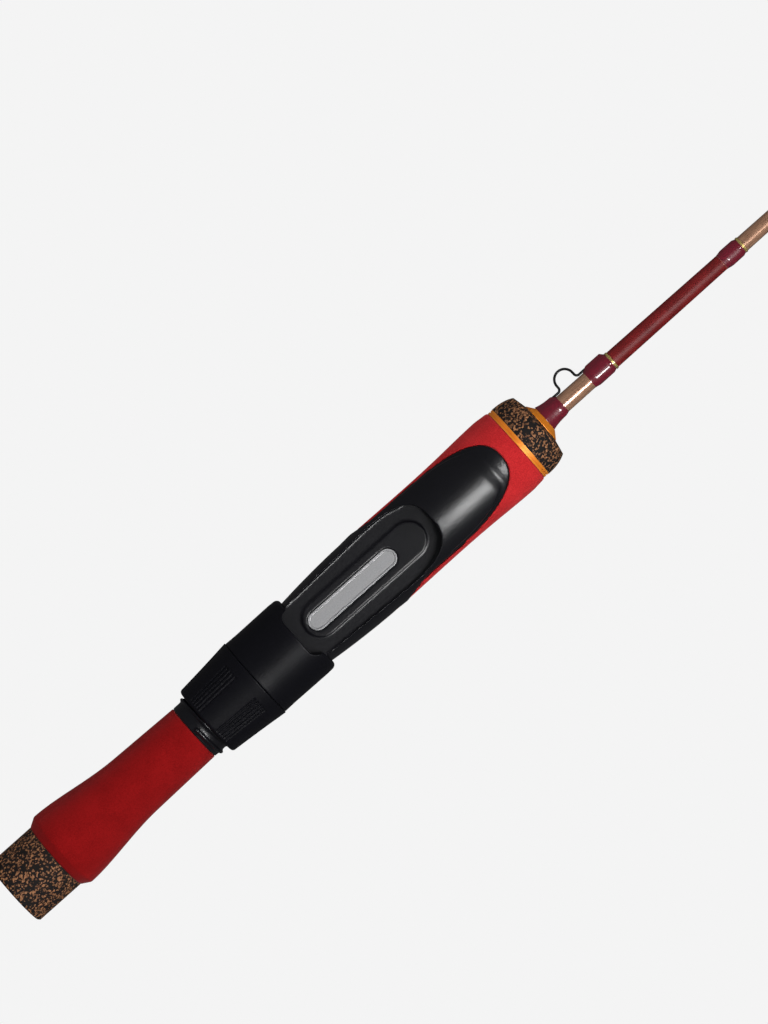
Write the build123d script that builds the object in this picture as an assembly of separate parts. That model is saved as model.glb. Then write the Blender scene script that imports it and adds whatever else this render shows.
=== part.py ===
from build123d import *
import math
import os

# Ice fishing rod.  Millimetres.  The rod lies along X from the butt face at x = 0 to the tip.
# +Z is the side that carries the reel and the line guides, +Y is the side of the hook keeper.

os.makedirs("parts", exist_ok=True)

# ---------------------------------------------------------------- blank
rod_length = 700.0  # butt face to the end of the blank
blank_butt_radius = 3.98
blank_tip_radius = 0.65
blank_wall = 1.0
blank_solid_tip = 330.0  # length at the tip that has no hollow
butt_web = 5.0  # cork left behind the blank's end
glue_gap = 0.05  # glue line round everything bonded to the blank or the seat

# ---------------------------------------------------------------- grips
butt_cork_length = 16.7
butt_cork_radius = 11.45
cork_edge = 0.5
rear_grip_length = 56.3
rear_grip_swell_radius = 13.2
rear_grip_chamfer = 3.0
rear_grip_taper_length = 29.3
rear_grip_neck_radius = 10.2
foregrip_length = 60.3
foregrip_lip_rise = 0.5
foregrip_lip_length = 4.8
foregrip_edge = 0.5

# ---------------------------------------------------------------- reel seat
thread_root_radius = 9.6
thread_height = 0.8
thread_pitch = 3.0
thread_width = 1.2
thread_showing = 4.9  # thread between the rear grip and the nut at rest
seat_bore_radius = 4.6
barrel_length = 40.0  # threaded tail, up to the shoulder of the body
shoulder_step = 0.5  # over the thread's crest
flank_length = 30.6  # shoulder to the rear face of the foregrip
flank_swell = 2.2
flank_fullness = 0.26
spigot_step = 0.6  # the front end, inside the foregrip, is this much under the thread's root
spigot_length = 51.4
key_width = 2.8  # key of the sliding hood, in a groove under the barrel
key_depth = 1.4
deck_height = 6.2  # floor that the reel foot rests on
land_height = 0.4
land_width = 11.2
land_length = 46.7
well_rim = 1.0
well_taper = 1.53
well_length = 39.0  # shoulder to where the mouth of the fixed hood starts to close
mouth_length = 17.8
mouth_roundness = 2.9
tongue_length = 54.5
tongue_step = 1.2  # side of the tongue, in from the flank
tongue_nose_length = 30.1
tongue_roundness = 2.6
dome_rise = 1.7
dome_inset = 3.4  # flange left round the nose of the fixed hood
flange_rise = 0.35
dip_length = 3.6  # hollow between the dome and the flange
dip_depth = 0.25
pocket_length = 10.5  # past the mouth
pocket_half = 9.5
pocket_mouth_room = 5.0  # over the deck
pocket_end_room = 2.6
badge_length = 34.2
badge_width = 5.9
badge_thickness = 0.7
badge_gap = 0.15
badge_inset = 1.4  # end of the land to the badge
arbor_length = 12.0
arbor_inset = 6.0

# ---------------------------------------------------------------- nut and sliding hood
nut_length = 20.0
nut_back_wall = 1.65
nut_mid_wall = 2.35
nut_front_wall = 3.43
nut_edge = 1.0
panel_count = 6
panel_turn = 25.0  # degrees from the deck to the middle of the first grip panel
groove_count = 5
groove_spacing = 1.25
groove_radius = 0.4
groove_depth = 0.3
groove_length = 15.4
hood_length = 20.8
hood_wall = 1.2
hood_nose = 1.6
hood_forward = 7.0  # travel towards the foregrip from rest
hood_backward = 4.4  # travel towards the butt from rest, until the nut nears the rear grip
hood_sleeve_length = 7.6  # part of the hood that runs on the thread
hood_back_room = 3.0  # over the deck
hood_front_room = 4.1
notch_depth = 3.2
notch_half = 8.5
notch_corner = 3.0
neck_length = 3.0  # rear neck of the hood, snapped into the nut
neck_wall = 0.95
snap_height = 0.35
snap_width = 0.9
slide_gap = 0.15
turn_gap = 0.1

# ---------------------------------------------------------------- front trim and hook keeper
trim_ring_width = 1.7
trim_ring_step = 0.2
trim_groove = 0.3
fore_cork_length = 8.2
fore_cork_step = 0.1
fore_cork_round = 1.65  # how much smaller its front corner is
fore_cork_face_rise = 1.0  # how far the front face domes forward to the winding check
check_length = 1.9
check_back_radius = 6.8
check_front_radius = 4.4
wire_radius = 0.4
keeper_from_check = 12.5  # winding check to the middle of the loop
keeper_half = 3.15
keeper_height = 2.3  # blank surface to the centre of the loop's arc
keeper_bend = 1.1
keeper_foot = 7.2
wrap_build = 0.42  # thread and cured epoxy over the blank
wrap_edge = 0.1
wrap_over_wire = 0.28
rear_wrap_length = 7.0
rear_wrap_flare = 0.8  # fillet of epoxy up against the winding check
front_wrap_length = 8.6
trim_thread_width = 0.8
trim_thread_build = 0.22
red_section_length = 44.4
far_wrap_length = 7.6

# ---------------------------------------------------------------- line guides
# Distance from the tip of the blank, and inner radius of the ring, for each guide.
guide_stations = {
    "1": (330.0, 6.0),
    "2": (240.0, 4.5),
    "3": (165.0, 3.5),
    "4": (100.0, 3.0),
    "5": (45.0, 2.5),
}
ring_section = 0.9  # ceramic ring, across its rounded section
ring_width = 1.8
holder_wall = 0.6
holder_width = 1.4
guide_clear = 2.2  # blank surface to the underside of the ring holder
leg_radius = 0.55
leg_rake = 0.45  # how far back the foot starts, against the height of the ring
foot_length = 10.0
foot_width = 1.8
foot_thickness = 0.5
guide_wrap_build = 0.35
tip_tube_length = 9.0
tip_tube_wall = 0.3
tip_ring_radius = 1.9
tip_ring_forward = 3.2
tip_ring_rise = 1.2

# ---------------------------------------------------------------- sizes that follow
thread_crest_radius = thread_root_radius + thread_height
running_bore = thread_crest_radius + slide_gap
rear_grip_front_radius = thread_root_radius
spigot_radius = thread_root_radius - spigot_step
shoulder_radius = thread_crest_radius + shoulder_step
flank_front_radius = shoulder_radius + flank_swell
flank_mid_radius = flank_front_radius - flank_fullness
tongue_half = flank_front_radius - tongue_step
well_front_half = tongue_half - well_rim
well_back_half = well_front_half - well_taper
dome_radius = flank_front_radius + dome_rise
pocket_mouth_height = deck_height + pocket_mouth_room
pocket_end_height = deck_height + pocket_end_room
nut_back_radius = running_bore + nut_back_wall
nut_mid_radius = running_bore + nut_mid_wall
nut_front_radius = running_bore + nut_front_wall
neck_outer_radius = running_bore + neck_wall
foregrip_radius = flank_front_radius
foregrip_lip_radius = foregrip_radius + foregrip_lip_rise
trim_ring_radius = foregrip_radius - trim_ring_step
fore_cork_radius = foregrip_radius - fore_cork_step
fore_cork_face_radius = fore_cork_radius - fore_cork_round

# ---------------------------------------------------------------- stations along the rod
cork_front = butt_cork_length
seat_back = cork_front + rear_grip_length
nut_back = seat_back + thread_showing
nut_front = nut_back + nut_length
hood_back = nut_front + turn_gap
hood_front = hood_back + hood_length
shoulder = seat_back + barrel_length
foregrip_back = shoulder + flank_length
spigot_front = foregrip_back + spigot_length
well_front = shoulder + well_length
mouth_front = well_front + mouth_length
tongue_tip = foregrip_back + tongue_length
tongue_middle = tongue_tip - tongue_nose_length
foregrip_front = foregrip_back + foregrip_length
ring_back = foregrip_front
ring_front = ring_back + trim_ring_width
fore_cork_front = ring_front + fore_cork_length
check_front = fore_cork_front + check_length
keeper_middle = check_front + keeper_from_check
front_wrap_back = keeper_middle + keeper_half + wire_radius + 1.8
front_wrap_front = front_wrap_back + front_wrap_length
keeper_trim_front = front_wrap_front + trim_thread_width
far_wrap_back = keeper_trim_front + red_section_length
far_wrap_front = far_wrap_back + far_wrap_length
land_back = hood_front + 0.5


# ---------------------------------------------------------------- shared shapes
def turned(*edges):
    """A closed outline drawn as (along, radius), turned about the rod's axis."""
    return revolve(make_face(list(edges)), axis=Axis.X)


def turned_ring(back, front, inner, outer):
    return turned(Polyline((back, inner), (front, inner), (front, outer), (back, outer), close=True))


def blank_radius(x):
    share = (x - butt_web) / (rod_length - butt_web)
    return blank_butt_radius + share * (blank_tip_radius - blank_butt_radius)


def blank_hole(back, front):
    """The blank between two stations, with the glue line round it."""
    corners = [(back, 0), (front, 0)]
    corners += [(x, blank_radius(x) + glue_gap) for x in (front, back)]
    return turned(Polyline(*corners, close=True))


def plan_face(half_edges):
    """A plan outline from the edges of its +Y half, mirrored across the rod's axis."""
    other = [mirror(edge, about=Plane.XZ) for edge in half_edges]
    return make_face([*half_edges, *other])


def superellipse(middle, length, half, power, count=9):
    """Curve of one quadrant, from (middle, half) on the side to the nose on the axis."""
    points = []
    for step in range(count):
        angle = math.pi / 2 * (1 - step / (count - 1))
        along = length * math.cos(angle) ** (2 / power)
        across = half * math.sin(angle) ** (2 / power)
        points.append((middle + along, across))
    return Spline(points, tangents=[(1, 0), (0, -1)])


def stadium(length, width, height):
    return extrude(SlotOverall(length, width), height)


# ---------------------------------------------------------------- blank and grips
def blank():
    hollow_front = rod_length - blank_solid_tip
    body = turned(
        Polyline(
            (butt_web, 0), (rod_length, 0), (rod_length, blank_tip_radius), (butt_web, blank_butt_radius),
            close=True,
        )
    )
    hollow = turned(
        Polyline(
            (butt_web, 0),
            (hollow_front, 0),
            (hollow_front, blank_radius(hollow_front) - blank_wall),
            (butt_web, blank_butt_radius - blank_wall),
            close=True,
        )
    )
    return body - hollow


def butt_cork():
    body = turned(
        Polyline(
            (0, 0),
            (cork_front, 0),
            (cork_front, butt_cork_radius),
            (cork_edge, butt_cork_radius),
            (0, butt_cork_radius - cork_edge),
            close=True,
        )
    )
    return body - blank_hole(butt_web - glue_gap, cork_front)


def rear_grip():
    swell = cork_front + rear_grip_chamfer
    neck = swell + rear_grip_taper_length
    drop = rear_grip_swell_radius - rear_grip_neck_radius
    taper = Bezier(
        (swell, rear_grip_swell_radius),
        (swell + 0.32 * rear_grip_taper_length, rear_grip_swell_radius - 0.03 * drop),
        (swell + 0.64 * rear_grip_taper_length, rear_grip_neck_radius + 0.1 * drop),
        (neck, rear_grip_neck_radius),
    )
    rest = Polyline(
        (neck, rear_grip_neck_radius),
        (seat_back, rear_grip_front_radius),
        (seat_back, 0),
        (cork_front, 0),
        (cork_front, butt_cork_radius),
        (swell, rear_grip_swell_radius),
    )
    return turned(taper, rest) - blank_hole(cork_front, seat_back)


# ---------------------------------------------------------------- reel seat
def flank_radius(x):
    """Outer radius of the seat's flank, a parabola from the shoulder to the foregrip."""
    share = (x - shoulder) / flank_length
    sides = (1 - share) ** 2 * shoulder_radius + share**2 * flank_front_radius
    return sides + 2 * share * (1 - share) * flank_mid_radius


def flank():
    middle = (shoulder + foregrip_back) / 2
    return Bezier(
        (shoulder, shoulder_radius), (middle, flank_mid_radius), (foregrip_back, flank_front_radius)
    )


def helical_ridge(back, front, inner, outer, width):
    """A right-handed thread ridge along X, between two stations."""
    path = Helix(thread_pitch, front - back, inner, center=(back, 0, 0), direction=(1, 0, 0))
    start = path @ 0
    slope = (outer - inner) * math.tan(math.radians(15))
    corners = [
        (-width / 2, -0.2), (width / 2, -0.2), (width / 2 - slope, outer - inner),
        (slope - width / 2, outer - inner),
    ]
    outward = Vector(0, start.Y, start.Z).normalized()
    section = Plane(start, x_dir=(1, 0, 0), z_dir=Vector(1, 0, 0).cross(outward))
    return sweep(section * make_face(Polyline(*corners, close=True)), path=path, is_frenet=True)


def tongue_plan(gap=0.0):
    """Plan of the fixed hood's tongue, where it lies in the foregrip."""
    flare = Spline(
        [(foregrip_back, flank_front_radius + 1), (tongue_middle - 13, tongue_half + gap + 0.25),
         (tongue_middle, tongue_half + gap)],
        tangents=[(1, -0.14), (1, 0)],
    )
    nose = superellipse(tongue_middle, tongue_nose_length + gap, tongue_half + gap, tongue_roundness)
    back = Line((foregrip_back, 0), (foregrip_back, flank_front_radius + 1))
    return plan_face([back, flare, nose])


def foregrip_skin(rise=0.0):
    """Outer line of the foregrip, from its rear face to its front lip."""
    lip = foregrip_front - foregrip_lip_length
    return Spline(
        [(foregrip_back, foregrip_radius + rise), (foregrip_back + 40, foregrip_radius + 0.02 + rise),
         (lip, foregrip_lip_radius + rise)],
        tangents=[(1, 0), (1, 0)],
    )


def tongue():
    """The fixed hood: a dome with a low flange round its nose."""
    nose = tongue_tip - dome_inset
    crown = tongue_middle + 10
    flange_top = foregrip_lip_radius + flange_rise
    dome_line = Spline(
        (foregrip_back, flank_front_radius),
        (foregrip_back + 14.4, flank_front_radius + 0.9),
        (crown, dome_radius),
        (nose - dip_length - 2.4, dome_radius - 0.3),
        (nose - dip_length - 0.6, dome_radius - 0.45),
        (nose - dip_length / 2, flange_top - dip_depth),
        (nose, flange_top - 0.1),
        (tongue_tip + 1, flange_top),
    )
    close = Polyline(
        (tongue_tip + 1, flange_top),
        (tongue_tip + 1, 0),
        (foregrip_back, 0),
        (foregrip_back, flank_front_radius),
    )
    dome = turned(dome_line, close) & extrude(tongue_plan(), 2 * dome_radius)
    skin = foregrip_skin(flange_rise)
    under = turned(
        skin,
        Polyline(
            skin @ 1, (foregrip_front, flange_top), (foregrip_front, 0), (foregrip_back, 0), skin @ 0
        ),
    )
    inner_nose = superellipse(
        tongue_middle, tongue_nose_length - dome_inset, tongue_half - 0.5, tongue_roundness
    )
    side = Polyline(
        (tongue_middle, tongue_half - 0.5),
        (tongue_middle - 4, tongue_half + 2),
        (foregrip_back, tongue_half + 2),
        (foregrip_back, 0),
    )
    keep = extrude(plan_face([inner_nose, side]), 2 * dome_radius)
    margin = Pos((foregrip_back + foregrip_front) / 2, 0, dome_radius) * Box(
        foregrip_length, 4 * dome_radius, 2 * dome_radius
    )
    return dome - (margin - keep - under)


def well_plan():
    """Plan of the deck, from a flat on the thread under the sliding hood to the fixed hood's mouth."""
    flat_back = hood_back + hood_sleeve_length - hood_backward - 3 * slide_gap
    over_thread = thread_crest_radius + thread_height
    back = Polyline(
        (flat_back, 0), (flat_back, over_thread), (shoulder, over_thread),
        (shoulder, well_back_half), (well_front, well_front_half),
    )
    mouth = superellipse(well_front, mouth_length, well_front_half, mouth_roundness)
    return plan_face([back, mouth])


def pocket():
    """The wedge under the fixed hood that takes the front toe of the reel foot."""
    deep = mouth_front + pocket_length
    side = Plane.XZ * make_face(
        Polyline((well_front - 2, deck_height), (deep, deck_height), (deep, pocket_end_height),
                 (well_front - 2, pocket_mouth_height), close=True)
    )
    wedge = extrude(side, pocket_half, both=True)
    roof = turned(
        Polyline((well_front - 2, 0), (deep, 0), (deep, pocket_end_height + 1.6),
                 (well_front - 2, pocket_mouth_height + 1.2), close=True)
    )
    return wedge & roof


def reel_seat_body():
    body = turned(
        Line((shoulder, 0), (shoulder, shoulder_radius)),
        flank(),
        Polyline((foregrip_back, flank_front_radius), (foregrip_back, 0), (shoulder, 0)),
    )
    barrel = turned_ring(seat_back, shoulder + 1, 0, thread_root_radius)
    spigot = turned_ring(foregrip_back - 1, spigot_front, 0, spigot_radius)
    body = body + barrel + spigot + tongue()
    thread_front = nut_front + hood_forward
    body += helical_ridge(
        seat_back + 1.5, thread_front, thread_root_radius, thread_crest_radius, thread_width
    )
    body -= Pos(0, 0, deck_height) * extrude(well_plan(), 2 * dome_radius)
    body -= pocket()
    land = stadium(land_length, land_width, land_height)
    body += Pos(land_back + land_length / 2, 0, deck_height) * land
    seat_for_badge = stadium(badge_length + 2 * badge_gap, badge_width + 2 * badge_gap, badge_thickness)
    badge_middle = land_back + badge_inset + badge_length / 2
    body -= Pos(badge_middle, 0, deck_height + land_height - badge_thickness + 0.1) * seat_for_badge
    groove_floor = thread_crest_radius - key_depth
    groove = Pos((seat_back + shoulder) / 2, 0, -groove_floor) * Box(
        barrel_length,
        key_width + 2 * slide_gap,
        2 * key_depth,
        align=(Align.CENTER, Align.CENTER, Align.MAX),
    )
    body -= groove
    return body - turned_ring(seat_back - 1, spigot_front, 0, seat_bore_radius) - blank_hole(
        spigot_front, tongue_tip + 1
    )


def seat_badge():
    middle = land_back + badge_inset + badge_length / 2
    bottom = deck_height + land_height - badge_thickness + 0.1
    return Pos(middle, 0, bottom) * stadium(badge_length, badge_width, badge_thickness - 0.1)


def seat_arbor(back):
    return turned_ring(back, back + arbor_length, 0, seat_bore_radius - glue_gap) - blank_hole(
        back, back + arbor_length
    )


# ---------------------------------------------------------------- nut and sliding hood
def hood_nut():
    back, front = nut_back, nut_front
    middle = (back + front) / 2
    outside = Bezier(
        (back + nut_edge, nut_back_radius), (middle, nut_mid_radius), (front, nut_front_radius)
    )
    edge = ThreePointArc(
        (back, nut_back_radius - nut_edge),
        (back + 0.3 * nut_edge, nut_back_radius - 0.3 * nut_edge),
        (back + nut_edge, nut_back_radius),
    )
    rest = Polyline(
        (front, nut_front_radius),
        (front, running_bore),
        (back, running_bore),
        (back, nut_back_radius - nut_edge),
    )
    body = turned(outside, rest, edge)
    seat = turned_ring(front - neck_length - turn_gap, front + 1, 0, neck_outer_radius + turn_gap)
    snap = turned_ring(
        front - neck_length - turn_gap,
        front - neck_length + snap_width + turn_gap,
        0,
        neck_outer_radius + snap_height + turn_gap,
    )
    body = body - seat - snap
    start = back + 0.9
    rise = math.atan2(nut_front_radius - nut_back_radius, nut_length)
    radius = nut_back_radius + groove_radius - groove_depth
    groove = Pos(start, 0, radius) * Rot(0, 90 - math.degrees(rise), 0) * Cylinder(
        groove_radius, groove_length, align=(Align.CENTER, Align.CENTER, Align.MIN)
    )
    pitch = math.degrees(groove_spacing / nut_mid_radius)
    grooves = []
    for panel in range(panel_count):
        for number in range(groove_count):
            turn = panel_turn + 360 / panel_count * panel + pitch * (number - (groove_count - 1) / 2)
            grooves.append(Rot(-turn, 0, 0) * groove)
    body -= grooves
    return body


def sliding_hood():
    cavity = flank_radius(hood_front + hood_forward) + slide_gap
    outer = cavity + hood_wall
    nose = hood_front - hood_nose
    outside = Polyline(
        (hood_back, 0), (hood_back, outer + 0.1), (hood_back + 4, outer), (nose - 2, outer + 0.1),
        (nose, outer),
    )
    tip = ThreePointArc(
        (nose, outer), (hood_front - 0.3 * hood_nose, outer - 0.35 * hood_wall), (hood_front, cavity + 0.1)
    )
    body = turned(outside, tip, Polyline((hood_front, cavity + 0.1), (hood_front, 0), (hood_back, 0)))
    neck_back = hood_back - neck_length
    body += turned_ring(neck_back, hood_back + 1, 0, neck_outer_radius)
    body += turned_ring(neck_back, neck_back + snap_width, 0, neck_outer_radius + snap_height)
    body -= turned_ring(neck_back - 1, hood_back + hood_sleeve_length + 1, 0, running_bore)
    cavity_back = hood_back + hood_sleeve_length
    room = turned_ring(cavity_back, hood_front + 1, 0, cavity)
    roof = Plane.XZ * make_face(
        Polyline(
            (cavity_back, -2 * outer),
            (hood_front + 1, -2 * outer),
            (hood_front + 1, deck_height + hood_front_room),
            (cavity_back, deck_height + hood_back_room),
            close=True,
        )
    )
    body -= room & extrude(roof, 2 * outer, both=True)
    notch = Rectangle(2 * notch_depth, 2 * notch_half)
    notch = fillet(notch.vertices(), min(notch_corner, notch_depth - 0.1))
    body -= Pos(hood_front, 0, 0) * extrude(notch, 2 * outer)
    key_foot = running_bore - key_depth
    key = Pos(hood_back + hood_sleeve_length / 2, 0, -key_foot) * Box(
        hood_sleeve_length,
        key_width,
        running_bore + 0.2 - key_foot,
        align=(Align.CENTER, Align.CENTER, Align.MAX),
    )
    return body + key


# ---------------------------------------------------------------- foregrip and front trim
def foregrip():
    skin = foregrip_skin()
    lip = Polyline(
        skin @ 1,
        (foregrip_front - foregrip_edge, foregrip_radius + 0.1),
        (foregrip_front, foregrip_radius + 0.1 - foregrip_edge),
        (foregrip_front, 0),
        (foregrip_back, 0),
        skin @ 0,
    )
    body = turned(skin, lip) - extrude(tongue_plan(glue_gap), 2 * dome_radius)
    body -= turned_ring(foregrip_back - 1, spigot_front + glue_gap, 0, spigot_radius + glue_gap)
    return body - blank_hole(spigot_front, foregrip_front)


def trim_ring():
    middle = (ring_back + ring_front) / 2
    body = turned_ring(ring_back, ring_front, 0, trim_ring_radius)
    body -= turned_ring(
        middle - trim_groove / 2,
        middle + trim_groove / 2,
        trim_ring_radius - trim_groove,
        trim_ring_radius + 1,
    )
    return body - blank_hole(ring_back, ring_front)


def fore_cork():
    corner = fore_cork_front - fore_cork_face_rise
    shape = Bezier(
        (ring_front, fore_cork_radius),
        (ring_front + 0.55 * fore_cork_length, fore_cork_radius),
        (corner, fore_cork_face_radius),
    )
    rest = Polyline(
        (corner, fore_cork_face_radius), (fore_cork_front, check_back_radius), (fore_cork_front, 0),
        (ring_front, 0), (ring_front, fore_cork_radius),
    )
    return turned(shape, rest) - blank_hole(ring_front, fore_cork_front)


def winding_check():
    body = turned(
        Polyline(
            (fore_cork_front, 0), (check_front, 0), (check_front, check_front_radius),
            (fore_cork_front + 0.2, check_back_radius), (fore_cork_front, check_back_radius), close=True,
        )
    )
    return body - blank_hole(fore_cork_front, check_front)


# ---------------------------------------------------------------- hook keeper and thread wraps
def keeper_foot_height():
    """Height of the wire's centre over the rod's axis, where the keeper's feet lie on the blank."""
    return blank_radius(check_front) + glue_gap + wire_radius


def hook_keeper():
    low = keeper_foot_height()
    high = blank_radius(keeper_middle) + keeper_height
    left = keeper_middle - keeper_half
    right = keeper_middle + keeper_half
    bend = keeper_bend
    back_end = left - bend - keeper_foot
    front_end = right + bend + keeper_foot
    path = Wire([
        Line((back_end, low), (left - bend, low)),
        JernArc((left - bend, low), (1, 0), bend, 90),
        Line((left, low + bend), (left, high)),
        ThreePointArc((left, high), (keeper_middle, high + keeper_half), (right, high)),
        Line((right, high), (right, low + bend)),
        JernArc((right, low + bend), (0, -1), bend, 90),
        Line((right + bend, low), (front_end, low)),
    ])
    section = Plane(origin=(back_end, low, 0), z_dir=(1, 0, 0)) * Circle(wire_radius)
    return sweep(section, path=path)


def foot_wrap(back, front, build, foot_height, foot_half, side, flare=0.0):
    """Thread and epoxy over the blank and a foot that lies along it.

    side is the foot's direction, and flare the extra fillet of epoxy at the back end.
    """
    length = front - back
    if flare:
        outline = [(0.0, 1.0, 1.0), (0.1, 1.0, 0.7), (0.25, 1.0, 0.4), (0.45, 1.0, 0.15), (0.7, 1.0, 0.0)]
    else:
        outline = [(0.0, 0.0, 0.0), (0.03, 0.6, 0.0), (0.07, 0.85, 0.0), (0.14, 1.0, 0.0)]
    outline += [(0.86, 1.0, 0.0), (0.93, 0.85, 0.0), (0.97, 0.6, 0.0), (1.0, 0.0, 0.0)]
    sections = []
    for along, share, fillet_share in outline:
        x = back + along * length
        extra = fillet_share * flare
        round_part = blank_radius(x) + wrap_edge + share * (build - wrap_edge) + extra
        over_foot = foot_half + wrap_edge + share * (wrap_over_wire - wrap_edge) + extra
        bump = Pos(0, foot_height, 0) * Circle(over_foot)
        hull = make_hull([*Circle(round_part).edges(), *bump.edges()])
        sections.append(Plane(origin=(x, 0, 0), x_dir=(0, side.Z, -side.Y), z_dir=(1, 0, 0)) * hull)
    return loft(sections, ruled=True)


def keeper_wrap(back, front, flare=0.0):
    low = keeper_foot_height()
    body = foot_wrap(back, front, wrap_build, low, wire_radius, Vector(0, 1, 0), flare)
    middle = (back + front) / 2
    room = Pos(middle, low, 0) * Rot(0, 90, 0) * Cylinder(wire_radius + 0.02, 2 * (front - back))
    return body - room - blank_hole(back - 1, front + 1)


def thread_band(back, front, build):
    """Plain band of thread and epoxy round the blank, with rounded-off ends."""
    slope = min(0.14 * (front - back), 0.6)
    return turned(
        Polyline(
            (back, blank_radius(back)),
            (front, blank_radius(front)),
            (front, blank_radius(front) + wrap_edge),
            (front - slope / 3, blank_radius(front) + 0.75 * build),
            (front - slope, blank_radius(front - slope) + build),
            (back + slope, blank_radius(back + slope) + build),
            (back + slope / 3, blank_radius(back) + 0.75 * build),
            (back, blank_radius(back) + wrap_edge),
            close=True,
        )
    ) - blank_hole(back - 1, front + 1)


# ---------------------------------------------------------------- line guides
def guide_ring(ring_radius):
    """Ceramic ring with a rounded section, its hole along X, centred on the origin."""
    middle = ring_radius + ring_section / 2
    straight = (ring_width - ring_section) / 2
    section = Pos(0, middle) * SlotOverall(2 * straight + ring_section, ring_section)
    return revolve(section, axis=Axis.X)


def ring_holder(ring_radius):
    """Metal band round the ceramic ring."""
    inner = ring_radius + ring_section + glue_gap
    return turned_ring(-holder_width / 2, holder_width / 2, inner, inner + holder_wall)


def guide_height(station, ring_radius):
    """Height of the ring's centre over the rod's axis."""
    return blank_radius(station) + guide_clear + ring_radius + ring_section + holder_wall


def guide_frame(station, ring_radius):
    """Single-foot frame: a band for the ring, two raked legs and one foot on the blank."""
    height = guide_height(station, ring_radius)
    outer = ring_radius + ring_section + glue_gap + holder_wall
    side = outer - holder_wall / 2
    foot_top = station - leg_rake * height
    low = blank_radius(foot_top - foot_length) + glue_gap
    foot = Pos(foot_top - foot_length / 2, 0, low + foot_thickness / 2) * Box(
        foot_length + 2 * leg_radius, foot_width, foot_thickness
    )
    frame = Pos(station, 0, height) * ring_holder(ring_radius) + foot
    drop = height - low - foot_thickness / 2
    tangent = math.acos(side / drop)  # the legs leave the band where they run tangent to it
    for hand in (-1, 1):
        start = Vector(station, hand * side * math.sin(tangent), height - side * math.cos(tangent))
        end = Vector(foot_top, hand * (foot_width / 2 - leg_radius), low + foot_thickness / 2)
        leg = Plane(origin=start, z_dir=end - start) * Cylinder(
            leg_radius, (end - start).length, align=(Align.CENTER, Align.CENTER, Align.MIN)
        )
        frame += leg + Pos(end.X, end.Y, end.Z) * Sphere(leg_radius)
    room = Pos(station, 0, height) * Rot(0, 90, 0) * Cylinder(outer - holder_wall, 2 * ring_width)
    return frame - room - blank_hole(foot_top - foot_length - 1, station)


def guide_wrap(station, ring_radius):
    """Thread and epoxy over the guide's foot."""
    foot_top = station - leg_rake * guide_height(station, ring_radius)
    back = foot_top - foot_length - 2
    front = foot_top - 1.5
    low = blank_radius(foot_top - foot_length) + glue_gap
    body = foot_wrap(
        back, front, guide_wrap_build, low + foot_thickness / 2, foot_width / 2, Vector(0, 0, 1)
    )
    room = Pos(foot_top - foot_length / 2, 0, low + foot_thickness / 2) * Box(
        foot_length + 2 * leg_radius + 0.04, foot_width + 0.04, foot_thickness + 0.04
    )
    return body - room - blank_hole(back - 1, front + 1)


def guide_trim(station, ring_radius):
    front = station - leg_rake * guide_height(station, ring_radius) - foot_length - 2
    return thread_band(front - trim_thread_width, front, trim_thread_build)


def tip_top():
    """Tube over the end of the blank, with a band for the tip ring and a brace under it."""
    inner = blank_radius(rod_length - tip_tube_length) + glue_gap
    tube = turned_ring(rod_length - tip_tube_length, rod_length + 0.8, 0, inner + tip_tube_wall)
    tube -= turned_ring(rod_length - tip_tube_length - 1, rod_length + glue_gap, 0, inner)
    outer = tip_ring_radius + ring_section + glue_gap + holder_wall
    height = tip_ring_rise + outer
    centre = Vector(rod_length + tip_ring_forward, 0, height)
    frame = Pos(centre) * ring_holder(tip_ring_radius) + tube
    for hand in (-1, 1):
        start = centre + Vector(0, hand * (outer - holder_wall / 2), 0)
        end = Vector(rod_length - tip_tube_length / 3, hand * inner, 0)
        frame += Plane(origin=start, z_dir=end - start) * Cylinder(
            leg_radius * 0.8, (end - start).length, align=(Align.CENTER, Align.CENTER, Align.MIN)
        )
    lower = centre - Vector(0, 0, outer - holder_wall / 2)
    end = Vector(rod_length, 0, 0)
    frame += Plane(origin=lower, z_dir=end - lower) * Cylinder(
        leg_radius, (end - lower).length, align=(Align.CENTER, Align.CENTER, Align.MIN)
    )
    frame -= Pos(centre) * Rot(0, 90, 0) * Cylinder(outer - holder_wall, 4 * holder_width)
    return frame - turned_ring(rod_length - tip_tube_length - 1, rod_length + glue_gap, 0, inner)


def tip_ring():
    outer = tip_ring_radius + ring_section + glue_gap + holder_wall
    return Pos(rod_length + tip_ring_forward, 0, tip_ring_rise + outer) * guide_ring(tip_ring_radius)


nodes = {
    "blank": blank(),
    "butt_cork": butt_cork(),
    "rear_grip": rear_grip(),
    "reel_seat_body": reel_seat_body(),
    "seat_badge": seat_badge(),
    "seat_arbor_rear": seat_arbor(seat_back + arbor_inset),
    "seat_arbor_middle": seat_arbor((seat_back + spigot_front - arbor_length) / 2),
    "seat_arbor_front": seat_arbor(spigot_front - arbor_inset - arbor_length),
    "hood_nut": hood_nut(),
    "sliding_hood": sliding_hood(),
    "foregrip": foregrip(),
    "trim_ring": trim_ring(),
    "fore_cork": fore_cork(),
    "winding_check": winding_check(),
    "hook_keeper": hook_keeper(),
    "keeper_wrap_rear": keeper_wrap(check_front, check_front + rear_wrap_length, rear_wrap_flare),
    "keeper_wrap_front": keeper_wrap(front_wrap_back, front_wrap_front),
    "keeper_trim": thread_band(front_wrap_front, keeper_trim_front, trim_thread_build),
    "far_wrap": thread_band(far_wrap_back, far_wrap_front, wrap_build),
    "far_trim": thread_band(far_wrap_front, far_wrap_front + trim_thread_width, trim_thread_build),
}

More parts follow.
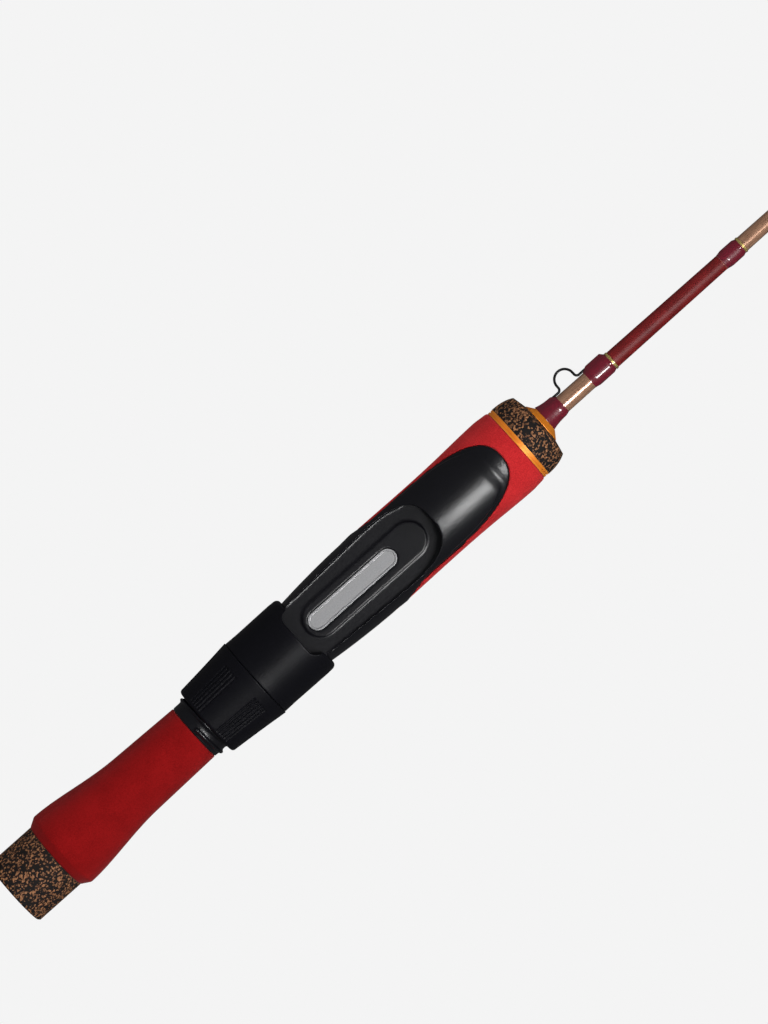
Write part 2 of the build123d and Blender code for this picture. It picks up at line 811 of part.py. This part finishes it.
for number, (from_tip, ring_radius) in guide_stations.items():
    station = rod_length - from_tip
    height = guide_height(station, ring_radius)
    nodes["guide_frame_" + number] = guide_frame(station, ring_radius)
    nodes["guide_ring_" + number] = Pos(station, 0, height) * guide_ring(ring_radius)
    nodes["guide_wrap_" + number] = guide_wrap(station, ring_radius)
    nodes["guide_trim_" + number] = guide_trim(station, ring_radius)
nodes["tip_top"] = tip_top()
nodes["tip_ring"] = tip_ring()
nodes["tip_wrap"] = thread_band(
    rod_length - tip_tube_length - 6, rod_length - tip_tube_length, guide_wrap_build
)

for name, solid in nodes.items():
    print(name, round(solid.volume, 1), solid.is_valid, len(solid.solids()))
    export_step(solid, f"parts/{name}.step")
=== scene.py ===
import math

import bpy
from mathutils import Matrix, Vector


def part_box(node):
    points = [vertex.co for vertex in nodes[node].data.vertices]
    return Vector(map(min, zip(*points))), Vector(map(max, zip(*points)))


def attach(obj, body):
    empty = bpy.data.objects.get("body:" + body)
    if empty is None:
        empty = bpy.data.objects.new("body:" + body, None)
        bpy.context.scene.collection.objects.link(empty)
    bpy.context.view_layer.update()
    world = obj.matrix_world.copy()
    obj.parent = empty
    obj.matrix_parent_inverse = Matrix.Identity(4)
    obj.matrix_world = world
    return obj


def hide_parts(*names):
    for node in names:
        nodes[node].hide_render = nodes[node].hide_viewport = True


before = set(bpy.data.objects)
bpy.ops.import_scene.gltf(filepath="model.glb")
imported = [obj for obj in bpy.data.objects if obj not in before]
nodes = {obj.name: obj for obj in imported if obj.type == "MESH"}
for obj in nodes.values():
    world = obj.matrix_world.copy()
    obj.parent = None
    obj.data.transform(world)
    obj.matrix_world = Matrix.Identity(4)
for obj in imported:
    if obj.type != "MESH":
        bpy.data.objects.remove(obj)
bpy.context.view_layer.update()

MM = 0.001


# ---------------------------------------------------------------- blank
# The blank is a thin tapered tube of carbon fibre, rolled, cured and clear coated.  It shows its
# own copper brown ahead of the handle, with one stretch painted candy red between the two trims,
# and it runs back through every part of the handle, which is glued to it.
class Field:
    """A value that changes over a surface; arithmetic on it adds Math nodes."""

    def __init__(self, finish, socket):
        self.finish = finish
        self.socket = socket

    def math(self, operation, *values):
        return self.finish.node("ShaderNodeMath", {"operation": operation}, dict(enumerate(values)))

    def __add__(self, other):
        return self.math("ADD", self, other)

    def __rsub__(self, other):
        return self.math("SUBTRACT", other, self)

    def __mul__(self, other):
        return self.math("MULTIPLY", self, other)

    def __gt__(self, other):
        return self.math("GREATER_THAN", self, other)

    def __lt__(self, other):
        return self.math("LESS_THAN", self, other)

    __radd__ = __add__
    __rmul__ = __mul__


class Finish:
    """One material: a Principled shader with its constants, and the nodes that feed it."""

    def __init__(self, name, **constants):
        self.material = bpy.data.materials.new(name)
        self.material.use_nodes = True
        self.tree = self.material.node_tree
        self.shader = self.tree.nodes["Principled BSDF"]
        for socket, value in constants.items():
            self.shader.inputs[socket.replace("_", " ")].default_value = value
        self.place = self.node("ShaderNodeTexCoord", output="Object")

    def node(self, kind, settings=(), sockets=(), output=0):
        """Adds a node, with its settings first and then its sockets' values or links."""
        made = self.tree.nodes.new(kind)
        for name, value in dict(settings).items():
            if name == "stops":
                for number, (position, colour) in enumerate(value):
                    ramp = made.color_ramp.elements
                    stop = ramp[number] if number < 2 else ramp.new(position)
                    stop.position = position
                    stop.color = (*colour, 1)
            elif name == "interpolation":
                made.color_ramp.interpolation = value
            else:
                setattr(made, name, value)
        for name, value in dict(sockets).items():
            if isinstance(value, Field):
                self.tree.links.new(value.socket, made.inputs[name])
            else:
                made.inputs[name].default_value = value
        return Field(self, made.outputs[output])

    def feed(self, socket, field):
        self.tree.links.new(field.socket, self.shader.inputs[socket])

    def axis(self, letter):
        return self.node("ShaderNodeSeparateXYZ", (), {0: self.place}, letter)

    def stretched(self, scale):
        return self.node("ShaderNodeMapping", (), {"Vector": self.place, "Scale": scale})

    def noise(self, scale, detail=2, place=None):
        """Noise from 0 to 1, with scale in patches per metre."""
        return self.node(
            "ShaderNodeTexNoise", (), {"Vector": place or self.place, "Scale": scale, "Detail": detail}
        )

    def ramp(self, field, stops, interpolation="LINEAR"):
        return self.node("ShaderNodeValToRGB", {"stops": stops, "interpolation": interpolation}, {0: field})

    def mix(self, share, first, second):
        """Colour first where share is 0 and second where it is 1."""
        ends = [(*c, 1) if isinstance(c, tuple) else c for c in (first, second)]
        return self.node("ShaderNodeMix", {"data_type": "RGBA"}, {0: share, 6: ends[0], 7: ends[1]}, 2)

    def bump(self, height, depth, strength=1.0):
        """Feeds the normal with a height from 0 to 1 that stands depth metres high."""
        self.feed(
            "Normal",
            self.node("ShaderNodeBump", (), {"Height": height, "Distance": depth, "Strength": strength}),
        )

    def coat(self, *names):
        """Puts this finish on CAD nodes."""
        for name in names:
            nodes[name].data.materials.clear()
            nodes[name].data.materials.append(self.material)


red_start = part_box("keeper_trim")[1].x
red_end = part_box("far_wrap")[0].x

blank_paint = Finish("blank_paint", Roughness=0.28, Coat_Roughness=0.06, Specular_IOR_Level=0.4)
x = blank_paint.axis("X")
red_zone = (x > red_start) * (x < red_end)
fibre = blank_paint.noise(1.0, 3, blank_paint.stretched((160, 5200, 5200)))
copper = blank_paint.ramp(fibre, [(0.3, (0.26, 0.130, 0.080)), (0.7, (0.52, 0.29, 0.180))])
pearl = blank_paint.noise(220, 2)
candy = blank_paint.ramp(pearl, [(0.25, (0.120, 0.0022, 0.003)), (0.75, (0.190, 0.0045, 0.005))])
blank_paint.feed("Base Color", blank_paint.mix(red_zone, copper, candy))
blank_paint.feed("Metallic", (1 - red_zone) * (0.25 + 0.15 * fibre))
blank_paint.feed("Coat Weight", 1 - red_zone)
blank_paint.feed("Roughness", 0.28 + 0.2 * red_zone + 0.05 * pearl)
blank_paint.bump(fibre * (1 - red_zone), 0.01 * MM, 0.06)
blank_paint.coat("blank")


# ---------------------------------------------------------------- burl cork
# The butt and the front end of the handle are burl: ground cork and black rubber pressed together
# with glue, turned on a lathe and sanded, so that the grains are cut flat across.
burl = Finish("burl_cork", Roughness=0.75, Specular_IOR_Level=0.3)
wander = burl.node("ShaderNodeTexNoise", (), {"Vector": burl.place, "Scale": 900, "Detail": 2}, "Color")
push = burl.node("ShaderNodeVectorMath", {"operation": "SCALE"}, {0: wander, "Scale": 0.7 * MM})
grain_place = burl.node("ShaderNodeVectorMath", {"operation": "ADD"}, {0: burl.place, 1: push})
voronoi = {"Vector": grain_place, "Scale": 2000, "Randomness": 1.0}
grain = burl.node("ShaderNodeTexVoronoi", {"feature": "F1"}, voronoi, "Color")
kind = burl.node("ShaderNodeSeparateColor", (), {0: grain}, "Red")
shade = burl.node("ShaderNodeSeparateColor", (), {0: grain}, "Green")
patch = burl.noise(520, 3)
cork_colour = burl.ramp(shade, [(0.0, (0.10, 0.040, 0.018)), (1.0, (0.44, 0.20, 0.090))])
rubber_colour = burl.ramp(shade, [(0.0, (0.003, 0.003, 0.004)), (1.0, (0.014, 0.010, 0.008))])
is_cork = (0.85 * kind + 0.3 * patch) > 0.74
burl.feed("Base Color", burl.mix(is_cork, rubber_colour, cork_colour))
burl.feed("Roughness", 0.66 + 0.2 * shade)
edge = burl.node("ShaderNodeTexVoronoi", {"feature": "DISTANCE_TO_EDGE"}, voronoi, "Distance")
burl.bump(edge + 0.4 * burl.noise(5200), 0.12 * MM, 0.35)
burl.coat("butt_cork", "fore_cork")


# ---------------------------------------------------------------- foam grips
# Both grips are closed-cell EVA foam, drilled, pushed over the blank with glue, then turned and
# sanded to shape.  The sanding leaves a fine matt nap.  They are the same foam; the rear grip's
# darker red is painted shade, since less light reaches it.
def foam(name, deep, bright):
    made = Finish(name, Roughness=0.92, Sheen_Weight=0.10, Sheen_Roughness=0.4, Specular_IOR_Level=0.10)
    cells = made.noise(2600, 5)
    cloud = made.noise(140, 2)
    made.feed("Base Color", made.ramp(0.7 * cells + 0.3 * cloud, [(0.36, deep), (0.64, bright)]))
    pores = made.node(
        "ShaderNodeTexVoronoi", {"feature": "F1"}, {"Vector": made.place, "Scale": 3600}, "Distance"
    )
    made.bump(0.6 * cells + 0.4 * pores, 0.08 * MM, 0.35)
    return made


most_triangles = 180000
join_distance = 0.001 * MM


def merged_copy(name):
    """A copy of a CAD node with its triangles joined, alone in the selection, that will replace it."""
    bpy.ops.object.select_all(action="DESELECT")
    piece = bpy.data.objects.new(name + "_finished", nodes[name].data.copy())
    bpy.context.scene.collection.objects.link(piece)
    piece.select_set(True)
    bpy.context.view_layer.objects.active = piece
    bpy.ops.object.mode_set(mode="EDIT")
    bpy.ops.mesh.select_all(action="SELECT")
    bpy.ops.mesh.remove_doubles(threshold=join_distance)
    bpy.ops.mesh.normals_make_consistent(inside=False)
    bpy.ops.object.mode_set(mode="OBJECT")
    piece.data.materials.clear()
    return piece


def skin_over(piece, grain, rounds):
    """Skins the piece afresh in even quads of that size, and softens its edges over some rounds."""
    remesh = piece.modifiers.new("skin", "REMESH")
    remesh.mode = "VOXEL"
    remesh.voxel_size = grain
    remesh.use_smooth_shade = True
    bpy.ops.object.modifier_apply(modifier="skin")
    soften = piece.modifiers.new("soften", "SMOOTH")
    soften.factor = 0.5
    soften.iterations = rounds
    bpy.ops.object.modifier_apply(modifier="soften")
    triangles = sum(len(face.vertices) - 2 for face in piece.data.polygons)
    if triangles > most_triangles:
        thin = piece.modifiers.new("thin", "DECIMATE")
        thin.ratio = most_triangles / triangles
        bpy.ops.object.modifier_apply(modifier="thin")


def put_in_place(piece, finish, slot, body, *replaced):
    piece.data.materials.append(finish.material)
    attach(piece, body)
    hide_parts(*replaced)


foam_grain = 0.34 * MM
foam_rounds = 4
# The rear grip's foam is a shaded copy of the foregrip's red: its darker colour is painted shade.
shaded_foam = foam("dark_red_foam", (0.200, 0.0030, 0.0034), (0.305, 0.0058, 0.0064))
red_foam = foam("red_foam", (0.425, 0.014, 0.017), (0.645, 0.028, 0.031))
for name, finish, slot in (("rear_grip", shaded_foam, "dark_red_foam"), ("foregrip", red_foam, "red_foam")):
    grip = merged_copy(name)
    skin_over(grip, foam_grain, foam_rounds)
    put_in_place(grip, finish, slot, "rod", name)


# ---------------------------------------------------------------- reel seat
# The seat is one moulding of black glass-filled nylon: threaded tail, open deck and fixed hood.
# The tool is spark eroded, so the skin has a fine even grain that breaks up the light.
def black_nylon(name, gloss, roughness):
    made = Finish(name, Roughness=roughness, Specular_IOR_Level=gloss)
    skin = made.noise(3800, 3)
    shades = [(0.3, (0.0030, 0.0030, 0.0044)), (0.7, (0.0056, 0.0056, 0.0082))]
    made.feed("Base Color", made.ramp(skin, shades))
    made.feed("Roughness", roughness - 0.07 + 0.14 * skin)
    made.bump(0.5 * skin + 0.5 * made.noise(1500, 2), 0.08 * MM, 0.5)
    return made


seat_plastic = black_nylon("seat_plastic", 0.60, 0.33)
hood_plastic = black_nylon("hood_plastic", 0.16, 0.42)
for name, finish, body, grain, rounds in (
    ("reel_seat_body", seat_plastic, "rod", 0.22 * MM, 16),
    ("sliding_hood", hood_plastic, "hood", 0.20 * MM, 7),
    ("hood_nut", hood_plastic, "nut", 0.16 * MM, 3),
):
    moulding = merged_copy(name)
    skin_over(moulding, grain, rounds)
    put_in_place(moulding, finish, "seat_plastic", body, name)

arbor_foam = Finish("arbor_foam", Roughness=0.9)
foam_shades = [(0.3, (0.4, 0.38, 0.33)), (0.7, (0.55, 0.52, 0.46))]
arbor_foam.feed("Base Color", arbor_foam.ramp(arbor_foam.noise(1800), foam_shades))
arbor_foam.coat("seat_arbor_rear", "seat_arbor_middle", "seat_arbor_front")


# The badge is a thin zinc plate, die cast with a raised rim round a plain sunk field, bead blasted
# and glued into its recess in the deck.
badge_metal = Finish("badge_metal", Roughness=0.48, Metallic=0.6)
blast = badge_metal.noise(2600, 4)
metal_shades = [(0.3, (0.37, 0.37, 0.38)), (0.7, (0.48, 0.48, 0.49))]
badge_metal.feed("Base Color", badge_metal.ramp(blast, metal_shades))
badge_metal.bump(blast, 0.02 * MM, 0.25)
badge_raise = 0.12 * MM
rim_edge = 0.12 * MM
rim_width = 0.45 * MM
field_slope = 0.12 * MM
field_depth = 0.16 * MM
badge = merged_copy("seat_badge")
bpy.ops.object.mode_set(mode="EDIT")
bpy.ops.mesh.select_all(action="SELECT")
bpy.ops.mesh.dissolve_limited(angle_limit=math.radians(1))
bpy.ops.mesh.select_all(action="DESELECT")
bpy.ops.object.mode_set(mode="OBJECT")
for face in badge.data.polygons:
    face.select = face.normal.z > 0.9
bpy.ops.object.mode_set(mode="EDIT")
bpy.ops.mesh.select_mode(type="FACE")
bpy.ops.transform.translate(value=(0, 0, badge_raise))
bpy.ops.mesh.inset(thickness=rim_edge)
bpy.ops.mesh.inset(thickness=rim_width)
bpy.ops.mesh.inset(thickness=field_slope, depth=-field_depth)
bpy.ops.object.mode_set(mode="OBJECT")
rim = badge.modifiers.new("rim", "BEVEL")
rim.width = 0.1 * MM
rim.segments = 2
rim.limit_method = "ANGLE"
rim.angle_limit = math.radians(50)
bpy.ops.object.modifier_apply(modifier="rim")
put_in_place(badge, badge_metal, "badge", "rod", "seat_badge")


# ---------------------------------------------------------------- orange anodised rings
# The ring between foam and cork, and the cone that finishes the handle, are turned aluminium,
# anodised orange; the turning leaves fine rings that catch the light.
anodised = Finish("anodised_orange", Roughness=0.3, Metallic=0.3)
turning = anodised.noise(1.0, 2, anodised.stretched((9000, 150, 150)))
anodised.feed("Base Color", anodised.ramp(turning, [(0.3, (0.86, 0.22, 0.010)), (0.7, (1.0, 0.36, 0.030))]))
anodised.feed("Roughness", 0.36 + 0.2 * turning)
anodised.bump(turning, 0.02 * MM, 0.4)
anodised.coat("trim_ring", "winding_check")


# ---------------------------------------------------------------- hook keeper
# The keeper is a loop of black coated stainless wire, whose two feet lie along the blank and are
# bound down with thread.
wire_black = Finish("black_wire", Roughness=0.3, Specular_IOR_Level=0.25)
scuff = wire_black.noise(2400, 3)
wire_black.feed(
    "Base Color", wire_black.ramp(scuff, [(0.3, (0.005, 0.005, 0.006)), (0.8, (0.012, 0.011, 0.012))])
)
wire_black.feed("Roughness", 0.24 + 0.2 * scuff)
wire_black.coat("hook_keeper")


# ---------------------------------------------------------------- thread wraps
# Fine nylon thread is wound on under tension, turn against turn, and flooded with epoxy that
# levels as the rod turns and cures to a thick clear gloss.
turns_per_metre = 5200


def turns(finish):
    """Ridges of the thread, 0 in the valleys and 1 on top of each turn; the wraps paint shade and light by
    it.
    """
    phase = finish.axis("X") * (2 * math.pi * turns_per_metre)
    return 0.5 + 0.5 * finish.node("ShaderNodeMath", {"operation": "SINE"}, {0: phase})


def thread(name, valley_shade, light, metallic=0.0):
    made = Finish(name, Roughness=0.4, Coat_Weight=1.0, Coat_Roughness=0.02, Metallic=metallic)
    ridge_shading = turns(made)
    # Painted shade in the valleys between the turns, and painted light on the crowns of the turns.
    made.feed("Base Color", made.mix(ridge_shading, valley_shade, light))
    return made


thinnest_epoxy = 0.2


def feather(piece, back, front):
    """Thins the wrap towards the blank over those lengths at its ends, by moving its vertices."""
    points = [vertex.co for vertex in piece.data.vertices]
    low = min(point.x for point in points)
    high = max(point.x for point in points)
    bore = min(math.hypot(point.y, point.z) for point in points)
    for point in points:
        radius = math.hypot(point.y, point.z)
        share = min((point.x - low) / back, (high - point.x) / front, 1.0)
        share = thinnest_epoxy + (1 - thinnest_epoxy) * share * share * (3 - 2 * share)
        turned_down = (bore + (radius - bore) * share) / radius
        point.y *= turned_down
        point.z *= turned_down


wrap_grain = 0.12 * MM
wrap_rounds = 10
square_end = 0.01 * MM
long_run_out = 2.2 * MM
short_run_out = 1.2 * MM
rear_run_out = 1.6 * MM
# Each thread gets a shaded tone for the valleys and a lit tone for the crowns of its turns.
burgundy = thread("burgundy_thread", (0.12, 0.0015, 0.011), (0.20, 0.004, 0.022))
gold = thread("gold_thread", (0.36, 0.25, 0.06), (0.72, 0.56, 0.20), 0.6)
guide_numbers = ["1", "2", "3", "4", "5"]
wraps = ["keeper_wrap_rear", "keeper_wrap_front", "far_wrap", "tip_wrap"]
for name in wraps + ["guide_wrap_" + number for number in guide_numbers]:
    wrap = merged_copy(name)
    skin_over(wrap, wrap_grain, wrap_rounds)
    if name == "keeper_wrap_rear":
        feather(wrap, square_end, rear_run_out)
    else:
        feather(wrap, long_run_out, short_run_out)
    put_in_place(wrap, burgundy, "burgundy_thread", "rod", name)
gold.coat("keeper_trim", "far_trim", *["guide_trim_" + number for number in guide_numbers])


# ---------------------------------------------------------------- line guides
# Each guide is a ring of dark polished ceramic pressed into a stainless frame, plated black, with
# one foot that is bound to the blank; the tip guide is the same on a short tube.
guide_metal = Finish("guide_metal", Roughness=0.28, Metallic=0.9)
polish = guide_metal.noise(1500, 3)
guide_metal.feed(
    "Base Color", guide_metal.ramp(polish, [(0.3, (0.05, 0.05, 0.056)), (0.7, (0.10, 0.10, 0.11))])
)
guide_metal.feed("Roughness", 0.22 + 0.18 * polish)
guide_metal.coat("tip_top", *["guide_frame_" + number for number in guide_numbers])

ceramic = Finish("ring_ceramic", Roughness=0.12)
speck = ceramic.noise(3000, 2)
ceramic.feed("Base Color", ceramic.ramp(speck, [(0.3, (0.02, 0.02, 0.022)), (0.7, (0.045, 0.045, 0.05))]))
ceramic.feed("Roughness", 0.08 + 0.1 * speck)
ceramic.coat("tip_ring", *["guide_ring_" + number for number in guide_numbers])


# ---------------------------------------------------------------- studio
# A plain pale floor well below the rod, a dim surround, broad light from overhead and both sides,
# a narrow key light towards -Y and a small window beyond the handle.  The floor and the broad
# lights are hidden from reflections, so that the black plastics stay black.
floor_size = 8
floor_drop = 0.35
floor_glow = 0.905
surround_glow = 0.07
broad_distance = 1.95
broad_size = 5.0
bpy.ops.object.select_all(action="DESELECT")
bpy.ops.mesh.primitive_plane_add(size=floor_size, location=(0.35, 0, -floor_drop))
floor = bpy.context.object
floor.name = "floor"
floor_finish = Finish("floor_paper", Roughness=1.0, Specular_IOR_Level=0.0, Base_Color=(0, 0, 0, 1))
floor_finish.shader.inputs["Emission Color"].default_value = (1, 1, 1, 1)
floor_finish.shader.inputs["Emission Strength"].default_value = floor_glow
floor.visible_glossy = False
floor.visible_diffuse = False
floor.data.materials.append(floor_finish.material)

world = bpy.data.worlds.new("surround")
bpy.context.scene.world = world
world.use_nodes = True
world.node_tree.nodes["Background"].inputs["Color"].default_value = (1, 1, 1, 1)
world.node_tree.nodes["Background"].inputs["Strength"].default_value = surround_glow

grip_middle = Vector((160 * MM, 0, 0))


def soft_light(name, towards, distance, width, height, watts):
    light = bpy.data.lights.new(name, "AREA")
    light.shape = "RECTANGLE"
    light.size = width
    light.size_y = height
    light.energy = watts
    lamp = bpy.data.objects.new(name, light)
    bpy.context.scene.collection.objects.link(lamp)
    direction = Vector(towards).normalized()
    lamp.location = grip_middle + distance * direction
    lamp.rotation_euler = direction.to_track_quat("Z", "Y").to_euler()
    return lamp


soft_light("key", (0.107, -0.50, 0.86), 0.7, 0.08, 0.30, 2.9)
soft_light("window", (0.75, -0.30, 0.60), 1.3, 0.12, 0.12, 2.0)
for name, towards, watts in (
    ("overhead", (0.0, 0.0, 1.0), 19),
    ("left_side", (0.0, 1.0, 0.15), 42),
    ("right_side", (0.0, -1.0, 0.15), 24),
):
    broad = soft_light(name, towards, broad_distance, broad_size, broad_size, watts)
    broad.visible_glossy = False


# ---------------------------------------------------------------- camera
# The rod is seen square on from its reel side, turned a little about its own axis, and lies
# across the picture from the lower left to the upper right.
lean = math.radians(3.7)
tilt = math.radians(41.69)
distance = 1790 * MM
focal_share = 5900 / 1024
sensor = 36.0

along = Vector((1, 0, 0))
across = Vector((0, math.cos(lean), math.sin(lean)))
back = Vector((0, -math.sin(lean), math.cos(lean)))
right = math.cos(tilt) * along - math.sin(tilt) * across
up = math.sin(tilt) * along + math.cos(tilt) * across
aim = 160.5 * MM * along + 11.6 * MM * across

lens = bpy.data.cameras.new("camera")
lens.sensor_width = sensor
lens.lens = sensor * focal_share
camera = bpy.data.objects.new("camera", lens)
bpy.context.scene.collection.objects.link(camera)
turned = Matrix((right, up, back)).transposed().to_4x4()
camera.matrix_world = Matrix.Translation(aim + distance * back) @ turned
bpy.context.scene.camera = camera
bpy.context.scene.view_settings.view_transform = "Standard"
